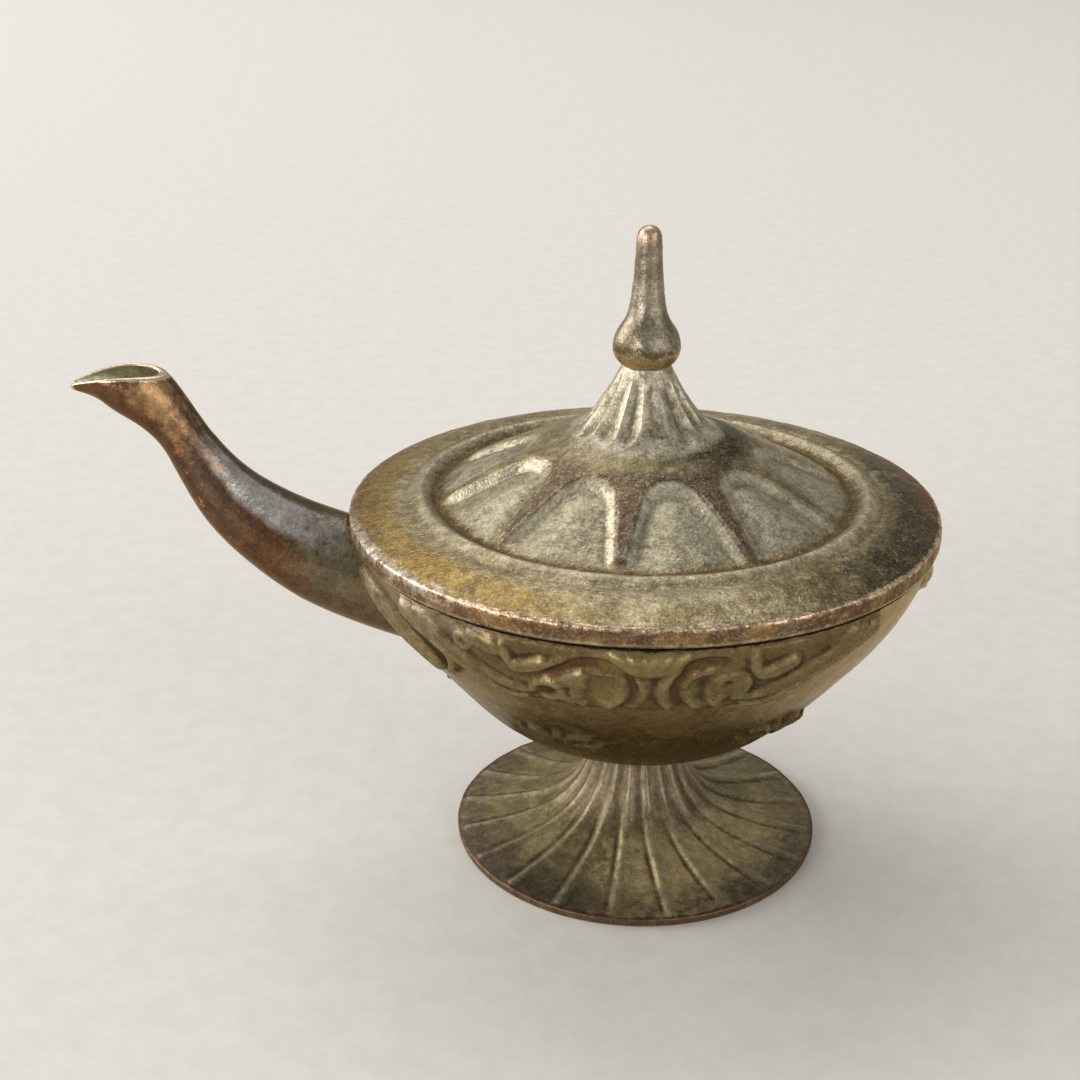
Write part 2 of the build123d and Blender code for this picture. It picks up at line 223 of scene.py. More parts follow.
def smooth(points, start=None, end=None):
    """A dense smooth curve through points, with a direction at either end where one is given."""
    points = np.array(points, float)
    steps = np.diff(points, axis=0)
    run = np.linalg.norm(steps, axis=1)
    count = len(points)
    system = np.eye(count)
    aim = np.zeros_like(points)
    for i in range(1, count - 1):
        before, after = run[i - 1], run[i]
        system[i, i - 1 : i + 2] = after, 2 * (before + after), before
        aim[i] = 3 * (steps[i - 1] * after / before + steps[i] * before / after)
    for i, j, direction in ((0, 1, start), (-1, -2, end)):
        if direction is None:
            system[i, [i, j]] = 2, 1
            aim[i] = 3 * steps[i] / run[i]
        else:
            aim[i] = np.array(direction) / np.linalg.norm(direction)
    slopes = np.linalg.solve(system, aim)
    t = np.linspace(0, 1, CURVE_STEPS, endpoint=False)[:, None]
    pieces = []
    for i in range(count - 1):
        first = (2 * t**3 - 3 * t**2 + 1) * points[i] + (t**3 - 2 * t**2 + t) * run[i] * slopes[i]
        second = (3 * t**2 - 2 * t**3) * points[i + 1] + (t**3 - t**2) * run[i] * slopes[i + 1]
        pieces.append(first + second)
    return np.concatenate(pieces + [points[-1:]])


def joined(*stretches):
    """Stretches of an outline as one, without the doubled points where they meet."""
    return np.concatenate([stretches[0]] + [stretch[1:] for stretch in stretches[1:]])


def trumpet(wide, narrow, low, high, flare):
    """A trumpet's outline from its wide low end to its narrow high end."""
    share = np.linspace(0, 1, TRUMPET_POINTS) ** 2
    radius = narrow + (wide - narrow) * (1 - share) / (1 + flare * share)
    return np.stack([radius, low + (high - low) * share], 1)


def unevenness(points, size):
    """A smooth random field from -1 to 1 at points in millimetres, with features of a size."""
    return np.array([noise.noise(Vector(point) / size) for point in points.reshape(-1, 3)])


# Turned skins


class Skin:
    """A half-section turned about the axis: rows run along the section and columns around it."""

    def __init__(self, outline, columns, ring=True):
        self.ring = ring
        self.outline = outline[:-1] if ring else outline
        ahead, behind = np.roll(self.outline, -1, 0), np.roll(self.outline, 1, 0)
        if not ring:
            ahead[-1], behind[0] = self.outline[-1], self.outline[0]
        run = ahead - behind
        run /= np.linalg.norm(run, axis=1)[:, None]
        self.lean_out, self.lean_up = -run[:, 1:], run[:, :1]
        self.radius, self.height = self.outline[:, :1], self.outline[:, 1:]
        self.turn = np.arange(columns)[None, :] * 2 * pi / columns
        steps = np.linalg.norm(np.diff(self.outline, axis=0), axis=1)
        self.along = np.concatenate([[0], np.cumsum(steps)])[:, None]
        self.push = np.zeros((len(self.outline), columns))
        self.marks = {}

    def offset(self, count, first, drift=0):
        """Each column's angle from the nearest of some evenly spaced places, in radians."""
        pitch = 2 * pi / count
        return (self.turn + drift - radians(first) + pitch / 2) % pitch - pitch / 2

    def placed(self):
        return self.radius + self.lean_out * self.push, self.height + self.lean_up * self.push

    def points(self):
        radius, height = self.placed()
        return np.stack([radius * np.cos(self.turn), radius * np.sin(self.turn), height], 2)

    def roughen(self, size, depth):
        """Pushes the skin in and out a little, as a sand casting is uneven."""
        field = unevenness(self.points(), size)
        self.push += depth * field.reshape(self.push.shape)

    def toward(self, degrees, half):
        """1 in a direction, falling to 0 at a half-width in degrees from it."""
        return rise(np.abs(self.offset(1, degrees)), radians(half), radians(half * 0.3))

    def field(self, size):
        """A random field from 0 to 1 on the skin."""
        return 0.5 + 0.5 * unevenness(self.points(), size).reshape(self.push.shape)

    def raised(self, reach, row_step):
        """How far each point stands above what is within a reach of it, in millimetres."""
        columns = self.push.shape[1]
        waves = np.arange(columns // 2 + 1)
        damp = np.exp(-0.5 * (waves * reach / np.maximum(self.radius, 1)) ** 2)
        total = np.zeros_like(self.push)
        for field, lean in zip(self.placed(), (self.lean_out, self.lean_up)):
            soft = np.fft.irfft(np.fft.rfft(field, axis=1) * damp, columns, axis=1)
            for _ in range(int(2 * (reach / row_step) ** 2)):
                soft = blurred(soft, 0)
            total += (field - soft) * lean
        return total

    def mark_wear_dirt_and_shade(self, row_step, edge=(0.02, 0.09), hollow=(0.03, 0.3)):
        """Marks the raised edges, which take wear and, on the bowl, a painted highlight, and the hollows,
        which take dirt and painted shade.
        """
        self.marks["edge"] = rise(self.raised(0.45, row_step), *edge)
        self.marks["hollow"] = rise(-self.raised(1.3, row_step), *hollow)

    def piece(self, name):
        """The skin as a closed mesh object with its marks and an unrolled map."""
        rows, columns = self.push.shape
        points = self.points()
        down = self.along / (self.along[-1] + 1)
        index, quads, unrolled = wrapped(down, columns)
        marks = {key: np.broadcast_to(value, self.push.shape).ravel() for key, value in self.marks.items()}
        if self.ring:
            return mesh_piece(name, points, quads.reshape(-1, 4).tolist(), unrolled, marks)
        faces = quads[:-1].reshape(-1, 4).tolist()
        unrolled = [unrolled[:-1].reshape(-1, 2)]
        poles = [(0, 0, self.outline[0][1]), (0, 0, self.outline[-1][1])]
        points = np.concatenate([points.reshape(-1, 3), poles])
        first, last = rows * columns, rows * columns + 1
        for j in range(columns):
            k = (j + 1) % columns
            faces.append([first, index[0, j], index[0, k]])
            faces.append([index[-1, j], last, index[-1, k]])
            left, right = j / columns, (j + 1) / columns
            unrolled.append([(left, 0), (left, down[0, 0]), (right, down[0, 0])])
            unrolled.append([(left, down[-1, 0]), (left, 1), (right, down[-1, 0])])
        marks = {key: np.append(value, [value[0], value[-1]]) for key, value in marks.items()}
        return mesh_piece(name, points, faces, np.concatenate(unrolled), marks)


def wrapped(down, columns):
    """A grid that wraps both ways: its points' numbers, its faces, and their corners on an unrolled map."""
    rows = len(down)
    index = np.arange(rows * columns).reshape(rows, columns)
    below = np.roll(index, -1, 0)
    quads = np.stack([index, below, np.roll(below, -1, 1), np.roll(index, -1, 1)], 2)
    left = np.arange(columns)[None, :] / columns
    right = left + 1 / columns
    low = np.concatenate([down[1:], [[1]]])
    corners = ((left, down), (left, low), (right, low), (right, down))
    unrolled = [np.stack(np.broadcast_arrays(*corner), 2) for corner in corners]
    return index, quads, np.stack(unrolled, 2)


def add_object(name, data):
    thing = bpy.data.objects.new(name, data)
    scene.collection.objects.link(thing)
    return thing


def mesh_piece(name, points, faces, unrolled, marks):
    mesh = bpy.data.meshes.new(name)
    mesh.from_pydata((points.reshape(-1, 3) * MM).tolist(), [], faces)
    layer = mesh.uv_layers.new(name="OFBake")
    layer.uv.foreach_set("vector", np.asarray(unrolled, np.float32).ravel())
    for key, values in marks.items():
        attribute = mesh.attributes.new(key, "FLOAT", "POINT")
        attribute.data.foreach_set("value", values.ravel().astype(np.float32))
    mesh.polygons.foreach_set("use_smooth", np.ones(len(mesh.polygons), bool))
    mesh.update()
    return add_object(name, mesh)


def dress(piece, body, node, material):
    """Puts a piece in the place of a node, with its material."""
    piece.data.materials.append(material)
    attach(piece, body)
    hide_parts(node)


# Foot


def foot_skin():
    outer = trumpet(FOOT_RADIUS, NECK_RADIUS, FOOT_EDGE, FOOT_HEIGHT, FOOT_FLARE)[::-1]
    hollow = trumpet(FOOT_RADIUS - FOOT_LAND, HOLLOW_RADIUS, 0, HOLLOW_HEIGHT, HOLLOW_FLARE)
    edge = [outer[-1], (FOOT_RADIUS + 0.02, FOOT_EDGE / 2), (FOOT_RADIUS - 0.2, 0)]
    top = evenly([(SCREW_HOLE, FOOT_HEIGHT), outer[0]], 1.5)
    shown = evenly(outer, FOOT_STEP)
    outline = joined(
        top,
        shown,
        evenly(edge, 0.2),
        evenly([edge[-1], hollow[0]], 1),
        evenly(hollow, 1),
        evenly([hollow[-1], (SCREW_HOLE, HOLLOW_HEIGHT), (SCREW_HOLE, FOOT_HEIGHT)], 2),
    )
    skin = Skin(outline, FOOT_COLUMNS)
    radius, marks = skin.radius, skin.marks
    outside = np.zeros_like(radius)
    outside[len(top) : len(top) + len(shown) - 1] = 1
    phase = skin.offset(FOOT_RIBS, FOOT_RIB_TURN) * FOOT_RIBS
    aside = phase / FOOT_RIBS * radius
    wear = 0.25 + skin.field(6)
    rib = wear * hump(aside, 0, 0.75) * rise(radius, 11, 17) * rise(radius, 28, 27)
    furrow = wear * hump(aside, -1.15, 0.45) * rise(radius, 9, 14) * rise(radius, 27.5, 25)
    flute = (0.5 + 0.5 * np.cos(phase)) ** 1.5 * rise(radius, 18, 9) * rise(skin.height, 18.8, 16)
    dish = (0.5 - 0.5 * np.cos(phase)) * rise(radius, 8, 14) * rise(radius, 28, 24)
    skin.push += outside * (0.34 * rib - 0.26 * furrow + 0.34 * flute - 0.1 * dish)
    skin.roughen(2.6, 0.06 * outside)
    skin.roughen(0.9, 0.02 * outside)
    skin.mark_wear_dirt_and_shade(FOOT_STEP)
    corners = highest(skin.toward(-140, 45), skin.toward(-35, 50))
    marks["rib"] = outside * highest(rib, 0.45 * flute)
    # Each rib's furrow is darkened with painted shade
    marks["furrow"] = outside * furrow
    marks["rim"] = outside * rise(radius, 19, 26.5) * (0.5 + 0.5 * corners)
    rim_edge = rise(radius, FOOT_RADIUS - 0.9, FOOT_RADIUS - 0.2)
    marks["lip"] = rim_edge * rise(skin.height, 0.1, 0.5)
    marks["neck"] = outside * rise(radius, 15, 8)
    # Painted light on the front of the foot, which the bowl shades
    marks["front"] = outside * skin.toward(-52, 78) * rise(radius, 9, 14)
    marks["under"] = 1 - highest(outside, marks["lip"])
    return skin


# Bowl with its scrollwork


def stroke(at, points, width, height, taper=0.35):
    """A rounded ridge along a curve, thinner towards its ends, where at is how far aside and down."""
    u, v = at
    path = evenly(smooth(points), STROKE_STEP)
    nearest = np.full(np.broadcast(u, v).shape, np.inf)
    for i, (start, end) in enumerate(zip(path, path[1:])):
        run = end - start
        share = ((u - start[0]) * run[0] + (v - start[1]) * run[1]) / (run @ run)
        share = np.clip(share, 0, 1)
        gap = np.hypot(u - start[0] - share * run[0], v - start[1] - share * run[1])
        middle = (i + 0.5) / (len(path) - 1)
        local = width * (taper + (1 - taper) * sin(pi * middle) ** 0.5)
        nearest = np.minimum(nearest, gap / local)
    return height * np.sqrt(np.clip(1 - nearest**2, 0, None))


def oval(at, middle, half_width, half_height):
    """0 at an oval's middle and 1 on its edge."""
    return np.hypot((at[0] - middle[0]) / half_width, (at[1] - middle[1]) / half_height)


def knob(at, middle, half_width, half_height, height):
    gap = oval(at, middle, half_width, half_height)
    return height * np.sqrt(np.clip(1 - gap**2, 0, None))


def veined(at, points, width, height, taper=0.35):
    """A leaf along a curve, with a sunk vein."""
    return stroke(at, points, width, height, taper) - stroke(at, points, 0.42 * width, 0.4 * height)


def palmette(at):
    """A cup of petals under the rim."""
    folds = highest(
        stroke(at, [(0.9, 0.6), (1.0, 2.2), (0.6, 3.8)], 0.4, 0.35),
        stroke(at, [(2.7, 0.6), (2.6, 1.7), (1.9, 2.9)], 0.4, 0.3),
    )
    return knob(at, (0, 0.8), 4.9, 3.7, 0.95) - folds


def stems(at):
    """A broad stem that runs down from the right of the cup, and a thin one beside it."""
    broad = stroke(at, [(3.9, 3.2), (2.4, 5.2), (1.9, 7.6), (2.8, 10.8)], 1.0, 0.7)
    return highest(broad, stroke(at, [(-1.2, 5.3), (-0.5, 7.2), (-0.9, 9.8)], 0.6, 0.4))


def scroll(at, bend, eye):
    """A dished eye with a raised rim, and how far each point lies in the channel that bends round it."""
    channel = rise(stroke(at, bend, 1.15, 1, 0.6), 0.1, 0.7)
    side = at[0]
    dish = oval(at, eye, *EYE_HALF)
    rim = 0.6 * hump(dish, 1, 0.17) * rise(side, eye[0] + 1.8, eye[0] - 0.6)
    sunk = 0.5 + 0.35 * rise(side, eye[0] - 1, eye[0] + 2)
    return rim - sunk * np.clip(1 - dish**2, 0, 1), channel, rise(dish, 1.1, 0.7)


def left_leaves(at):
    """The small leaves that fill the room beyond a left scroll's eye."""
    return highest(
        veined(at, [(11.4, 6.6), (9.9, 6.0), (8.4, 4.9)], 1.3, 0.6),
        veined(at, [(8.4, 6.4), (9.2, 8.4), (8.6, 11.0)], 1.1, 0.55),
        knob(at, (10.3, 10.3), 1.2, 1.1, 0.5),
    )


def right_volute(at):
    """The volute that winds out of a right scroll's eye."""
    return highest(
        veined(at, [(9.6, 11.2), (8.7, 9.2), (8.5, 6.6), (9.2, 5.0), (10.6, 4.4)], 1.0, 0.65),
        veined(at, [(10.2, 4.7), (11.6, 5.3), (12.4, 7.2), (11.6, 9.4)], 1.2, 0.6),
        veined(at, [(9.8, 9.0), (10.3, 7.6), (11.2, 6.8)], 1.0, 0.5),
    )


def scroll_pair(u, down):
    """A palmette with a scroll on either side: u runs around from its axis and down from the rim."""
    at, mirrored = (u, down), (-u, down)
    left, left_channel, left_eye = scroll(mirrored, LEFT_BEND, LEFT_EYE)
    right, right_channel, right_eye = scroll(at, RIGHT_BEND, RIGHT_EYE)
    cup = highest(palmette((np.abs(u), down)), stems(at))
    left = left + highest(cup, left_leaves(mirrored))
    right = right + highest(cup, right_volute(at))
    channel = np.where(u < 0, left_channel, right_channel) * rise(down, 12.6, 11.6)
    eyes = np.where(u < 0, left_eye, 0.5 * right_eye)
    gold = highest(eyes, rise(oval(at, (-0.6, 2), 7, 3), 1, 0.6))
    return np.where(u < 0, left, right), channel, gold


def ground(u, down):
    """1 on a panel's raised ground, which the blades at its sides cut off towards the rim."""
    side = np.where(u < 0, -u - BLADE_SHIFT, u)
    edge = np.interp(side, (13.0, 16.0, 19.0, 23.8, 32.2), (11.9, 11.4, 9.8, 6.8, 2.2))
    return rise(edge - down, -0.3, 0.3) * rise(side, 33, 31)


def calyx(at):
    """A stem and a short round leaf, beside a pair of scrolls."""
    stem = stroke(at, [(-1.2, 5.7), (-2.2, 3.8), (-2.8, 1.5)], 0.8, 0.6)
    return highest(stem, veined(at, [(-0.9, 4.9), (0.8, 4.4), (2.6, 3.5)], 1.35, 0.9, 0.75))


def curl(at):
    """A loop under the left calyx, a tip to its leaf, and a petal and a small ring beyond its stem."""
    loop = [(0.3, 9.4), (1.0, 7.8), (2.5, 7.0), (4.0, 7.6), (4.4, 9.0), (3.4, 10.2), (1.9, 10.4)]
    return highest(
        stroke(at, loop, 0.85, 0.6, 0.6),
        stroke(at, [(2.6, 3.5), (3.8, 3.4), (5.2, 2.3)], 0.7, 0.55, 0.6),
        veined(at, [(-6.9, 1.9), (-5.4, 2.1), (-4.1, 2.7)], 1.3, 0.75, 0.75),
        0.85 * hump(oval(at, (-8.5, 2.7), 1.0, 1.1), 1, 0.4),
    )


def blade(at):
    """A long leaf that sweeps up to the rim, with a raised lower edge and small veined leaves at its tip."""
    return highest(
        stroke(at, [(-2.9, 9.6), (0.4, 9.2), (4.2, 7.2), (8.4, 4.7), (13.0, 2.6)], 1.4, 0.6),
        stroke(at, [(-2.6, 11.0), (0.2, 11.0), (3.2, 9.5), (8.0, 6.4), (16.4, 1.8)], 0.65, 1.05),
        veined(at, [(9.0, 3.0), (11.0, 1.9), (13.4, 0.9)], 0.9, 0.7),
        veined(at, [(11.2, 4.0), (13.4, 2.7), (16.2, 1.0)], 1.0, 0.9),
    )


def spout_leaf(at):
    """A broad leaf with a sunk vein beside the spout, and a ridge beyond it."""
    body = stroke(at, [(13.0, 3.0), (18.0, 5.0), (23.5, 8.0), (28.0, 11.6)], 3.0, 1.2, 0.5)
    vein = stroke(at, [(14.0, 3.4), (18.0, 5.0), (23.5, 8.0), (27.0, 10.8)], 0.9, 0.75)
    ridge = stroke(at, [(31.0, 4.6), (33.0, 7.0), (32.4, 9.8), (30.4, 12.4)], 0.9, 0.9)
    return highest(body - vein, ridge)


def tail_leaf(at):
    """A leaf under the rim on the side away from the spout, on either hand of that side's middle."""
    return highest(
        stroke(at, [(3.0, 4.4), (10.0, 3.6), (17.0, 1.2)], 1.7, 0.7),
        stroke(at, [(2.0, 6.0), (9.6, 5.6), (17.6, 2.4)], 0.6, 0.7),
    )


def lower_spray(u, down):
    """One leaf spray low on the bowl: u runs around from its axis, down from its middle."""
    at = np.abs(u), down
    return highest(
        knob(at, (0, -0.6), 1.1, 1.7, 0.5),
        stroke(at, [(0.6, 1.2), (1.7, -0.8), (3.2, -1.8), (4.4, -1.0)], 0.8, 0.55),
        stroke(at, [(1.2, 1.6), (3.0, 0.5), (4.8, 0.6), (6.0, -0.2)], 0.85, 0.6),
        stroke(at, [(1.0, 2.3), (2.8, 2.6), (4.6, 2.3)], 0.7, 0.45),
        knob(at, (5.6, 1.7), 0.8, 0.6, 0.45),
        knob(at, (2.3, 0.3), 0.7, 0.5, 0.45),
    )


def bowl_outer(inset=0.0):
    """The bowl's outer outline, drawn in by an inset."""
    points = [BOWL_SEAT, BOWL_HIP, BOWL_FLANK, BOWL_SHOULDER, (BOWL_RADIUS, RIM_HEIGHT)]
    line = smooth(points, (1, 0), (0.2, 1))
    run = headings(line)
    return line + inset * np.stack([-run[:, 1], run[:, 0]], 1)


def bowl_inner():
    """The outer outline drawn in by the wall, up to the straight mouth."""
    inner = bowl_outer(BOWL_WALL)
    mouth_low = SEAT_HEIGHT - MOUTH_DEPTH
    inner = inner[inner[:, 1] < mouth_low - 1]
    return np.concatenate([inner, [(MOUTH_RADIUS, mouth_low)]])


def bowl_skin():
    inner = bowl_inner()
    outer = bowl_rows(evenly(bowl_outer()[::-1], DENSE))
    rim = [(MOUTH_RADIUS, SEAT_HEIGHT), (LEDGE_RADIUS, SEAT_HEIGHT), (LEDGE_RADIUS, RIM_HEIGHT), outer[0]]
    hidden = joined(
        evenly([(SCREW_HOLE, FLOOR_HEIGHT), inner[0]], 3),
        evenly(inner, HIDDEN),
        evenly([inner[-1], rim[0]], 1.2),
        evenly(rim, 0.45),
    )
    close = [outer[-1], (SCREW_HOLE, FOOT_HEIGHT), (SCREW_HOLE, FLOOR_HEIGHT)]
    skin = Skin(joined(hidden, outer, evenly(close, 3)), BOWL_COLUMNS)
    marks = skin.marks
    outside = np.zeros_like(skin.radius)
    outside[len(hidden) : len(hidden) + len(outer)] = 1
    down = skin.along - skin.along[len(hidden) - 1]
    emboss(skin, outside, down)
    # On the open side the rim is pushed in under the lid, and the gap mark paints shade into that gap
    open_side = skin.toward(-79, 90)
    gap = outside * rise(down, 0.45, 0.1) * open_side * rise(skin.field(7), 0.3, 0.45)
    skin.push -= gap * (0.15 + 0.35 * skin.field(8))
    skin.roughen(3.2, 0.07 * outside)
    skin.roughen(1.1, 0.015 * outside)
    skin.mark_wear_dirt_and_shade(SHOWN)
    # Painted shade: darker towards the bottom of the bowl
    marks["low"] = outside * rise(down, 13, 30)
    # Painted highlight on the plain front-right flank, off the panel's ground
    marks["flank"] = outside * (1 - marks["ground"]) * skin.toward(-28, 62) * rise(down, 26, 14)
    # Streaky pale patch high on the left front: wear and a painted sheen
    marks["wear_and_sheen"] = outside * skin.toward(213, 34) * rise(down, 8, 1)
    # Pale crests: wear and a painted highlight, fainter below the band
    marks["edge"] *= outside * (0.4 + 0.6 * rise(down, 18, 13))
    # Crevices between the relief's forms, away from the channels, the eyes and the rim's top edge: dark dirt
    # and painted shade
    plain = (1 - 0.8 * marks["channel"]) * (1 - 0.7 * marks["gold"]) * rise(down, 0.5, 1.2)
    marks["crevice"] = outside * plain * rise(-skin.raised(0.6, SHOWN), 0.02, 0.12)
    # The seat's ledge on the open side also gets painted shade
    ledge = (skin.radius > LEDGE_RADIUS - 0.1) & (skin.height > RIM_HEIGHT - 0.05)
    marks["gap"] = highest(gap, ledge * open_side)
    marks["inside"] = 1 - outside
    return skin


def bowl_rows(dense):
    """The outer outline's points: close in the band and the sprays, and wider on the plain parts."""
    run = np.arange(len(dense)) * DENSE
    spacing = np.where(run < BAND_DEPTH, 0.32, np.where(np.abs(run - SPRAY_DEPTH) < 4.5, 0.4, 0.8))
    count = np.concatenate([[0], np.cumsum(DENSE / spacing[:-1])])
    places = np.linspace(0, count[-1], round(count[-1]) + 1)
    return np.stack([np.interp(places, count, axis) for axis in dense.T], 1)


def emboss(skin, outside, down):
    """Raises the scrollwork: a panel of it at the front and back, leaves between, and sprays below."""
    rows = (outside * (down < SPRAY_DEPTH + SPRAY_HALF))[:, 0] > 0
    depth = down[rows]

    def around(count, first):
        return skin.offset(count, first) * BAND_RADIUS

    middle = around(PANELS, PANEL_TURN)
    scrolls, channel, gold = scroll_pair(middle, depth)
    plate = ground(middle, depth)
    right = around(PANELS, PANEL_TURN + SIDE_TURN)
    left = around(PANELS, PANEL_TURN - SIDE_TURN)
    leaves = [calyx((right, depth)), calyx((left, depth)), curl((left, depth))]
    leaves += [blade((right, depth)), blade((-left - BLADE_SHIFT, depth))]
    leaves += [spout_leaf((np.abs(around(1, 180)), depth)), tail_leaf((np.abs(around(1, 0)), depth))]
    low = skin.offset(SPRAYS, SPRAY_TURN) * skin.radius[rows]
    spray = lower_spray(low, depth - SPRAY_DEPTH)
    band = PLATE_HEIGHT * plate * (1 - 1.6 * channel) + scrolls + highest(*leaves)
    relief = np.zeros_like(skin.push)
    relief[rows] = band * rise(depth, 0.2, 0.9) + 1.25 * spray
    relief = blurred(blurred(relief, 0), 1)
    skin.push += relief * (0.9 + 0.4 * skin.field(6))
    skin.marks["relief"] = rise(relief, 0.3, 0.9) * rise(down, 16, 13)
    for key, mark in (("channel", channel), ("gold", gold), ("ground", plate)):
        skin.marks[key] = np.zeros_like(skin.push)
        skin.marks[key][rows] = mark


def bowl_radius_at(height, inset):
    """The bowl's outer radius at a height, drawn in by an inset, with the lid's room above the rim."""
    moved = bowl_outer(inset)
    radius = np.interp(height, moved[:, 1], moved[:, 0])
    return radius if inset > 0 else np.where(height > RIM_HEIGHT, LID_ROOM, radius)


def drilled(piece):
    """Cuts the spigot's hole through the bowl's wall."""
    start, end = spout_root()
    bpy.ops.mesh.primitive_cylinder_add(
        vertices=DRILL_SIDES,
        radius=SPIGOT_HOLE * MM,
        depth=(end - start).length * MM,
        location=(start + end) / 2 * MM,
        rotation=(end - start).to_track_quat("Z", "Y").to_euler(),
    )
    drill = bpy.context.object
    cut = piece.modifiers.new("spigot_hole", "BOOLEAN")
    cut.object = drill
    cut.solver = "EXACT"
    bpy.context.view_layer.update()
    whole = piece.evaluated_get(bpy.context.evaluated_depsgraph_get())
    piece.data = bpy.data.meshes.new_from_object(whole)
    piece.modifiers.clear()
    bpy.data.objects.remove(drill)
    return piece


# Spout


def spout_root():
    """The ends of the spigot's axis, inside the bowl and at the spout's root."""
    return [Vector((SPOUT_STATIONS[k][0], 0, SPOUT_STATIONS[k][1])) for k in (0, 2)]


def spout_line():
    """The spout's centreline with its outer and bore radii, about a fine step apart."""
    dense = smooth([station[:2] for station in SPOUT_STATIONS])
    radii = smooth([(k * STATION_RUN, *station[2:]) for k, station in enumerate(SPOUT_STATIONS)])
    return evenly(np.concatenate([dense, radii[:, 1:]], 1), FINE)


def mouth_height(along):
    """The height of the cut that opens the spout's mouth."""
    xs, zs = np.array(MOUTH_ARC).T
    return np.polyval(np.polyfit(xs, zs, 2), along)


def spout_piece():
    """A hollow curved horn: its skin from the bowl to the mouth, then its bore back to the spigot."""
    sides = SPOUT_COLUMNS
    line = spout_line()
    centre, outer, bore = line[:, :2], line[:, 2], line[:, 3]
    run = headings(centre)
    around = np.arange(sides) * 2 * pi / sides
    places = np.linspace(0, 1, len(line))

    def tube(radius):
        """Points of a tube around the centreline, by place and side; side 0 is its upper edge."""
        x = centre[:, :1] + run[:, 1:] * radius[:, None] * np.cos(around)
        z = centre[:, 1:] - run[:, :1] * radius[:, None] * np.cos(around)
        return np.stack([x, radius[:, None] * np.sin(around) + 0 * x, z], 2)

    def between(points, first, last, count):
        """Each side's line resampled between two places on it, about evenly."""
        wanted = first + (last - first) * np.linspace(0, 1, count)[:, None]
        out = np.empty((count, sides, 3))
        for j, axis in np.ndindex(sides, 3):
            out[:, j, axis] = np.interp(wanted[:, j], places, points[:, j, axis])
        return out

    def crossing(inside):
        """For each side, the place where a value along it turns from positive to negative."""
        out = np.empty(sides)
        for j in range(sides):
            k = np.nonzero(inside[:, j] > 0)[0]
            k = min(k[-1], len(places) - 2) if len(k) else 0
            high, low = inside[k, j], inside[k + 1, j]
            share = high / (high - low) if low < 0 < high else 1
            out[j] = places[k] + share * (places[k + 1] - places[k])
        return out

    def leaving(points, inset):
        """Where each side leaves the bowl."""
        wall = bowl_radius_at(points[:, :, 2], inset)
        return crossing(wall - np.hypot(points[:, :, 0], points[:, :, 1]))

    def wall_ring(points, inset):
        """The row of points where a tube leaves the bowl."""
        place = leaving(points, inset)
        return between(points, place, place, 1)

    def opening(points):
        """Where each side meets the cut of the mouth."""
        room = mouth_height(points[:, :, 0]) - points[:, :, 2]
        room[: int(MOUTH_START * len(places))] = 1
        first = np.argmax(room < 0, axis=0)
        room[(np.arange(len(places))[:, None] > first) & (first > 0)] = -1
        return crossing(room)

    skin, pipe = tube(outer), tube(bore)
    rows = int(len(line) * SPOUT_ROW_SHARE)
    outside = between(skin, leaving(skin, -SADDLE_GAP), opening(skin), rows)
    inside = between(pipe, leaving(pipe, SOLDER_FACE), opening(pipe), rows // 2)[::-1]
    spigot = tube(np.full(len(line), SPIGOT_RADIUS))
    root = [wall_ring(spigot, inset) for inset in (SOLDER_FACE, -SADDLE_GAP)]
    rim = []
    for share in (0.2, 0.5, 0.8):
        ring = outside[-1:] * (1 - share) + inside[:1] * share
        rim.append(ring + np.array([0, 0, MOUTH_LIP * sin(pi * share)]))
    return np.concatenate(root + [outside] + rim + [inside]), rows


def spout_marks(grid, rows):
    """Where the spout is dark along its top with a painted dark reflection, has a painted sheen beside that,
    is brown and darker below with painted shade, and is rubbed at its neck.
    """
    shape = grid.shape[:2]
    x = grid[:, :, 0]
    turn = np.arange(shape[1])[None, :] * 2 * pi / shape[1]
    side, flank = np.cos(turn), np.abs(np.sin(turn))
    row = np.arange(shape[0])[:, None]
    outside = ((row > 1) & (row < rows + 2)) * np.ones(shape)
    upper = 0.84 * side + 0.54 * flank
    return {
        "sheen": outside * rise(upper, 0.74, 1.0) * rise(x, -66, -57) * (0.3 + 0.7 * rise(x, -46, -54)),
        "root": outside * rise(x, -56, -44),
        "throat": outside * hump(x, -69.5, 3.6) * rise(0.65 * side + 0.76 * flank, 0.45, 0.85),
        # Painted dark reflection along the top edge
        "top": outside * rise(side, 0.93, 0.99) * rise(x, -40, -50),
        "neck": outside * hump(x, -64, 6),
        # Painted shade on the underside
        "belly": outside * rise(side, 0.1, -0.7),
        "lip": rise(np.abs(row - rows - 3.5), 6.5, 2.5) * np.ones(shape),
        "inside": (row > rows + 4) * np.ones(shape),
    }


def grid_piece(name, grid, marks):
    """A closed mesh of rows that wrap around both ways."""
    rows, columns = grid.shape[:2]
    _, quads, unrolled = wrapped(np.arange(rows)[:, None] / rows, columns)
    outward = [0, 3, 2, 1]
    faces = quads[:, :, outward].reshape(-1, 4).tolist()
    return mesh_piece(name, grid, faces, unrolled[:, :, outward], marks)


# Lid


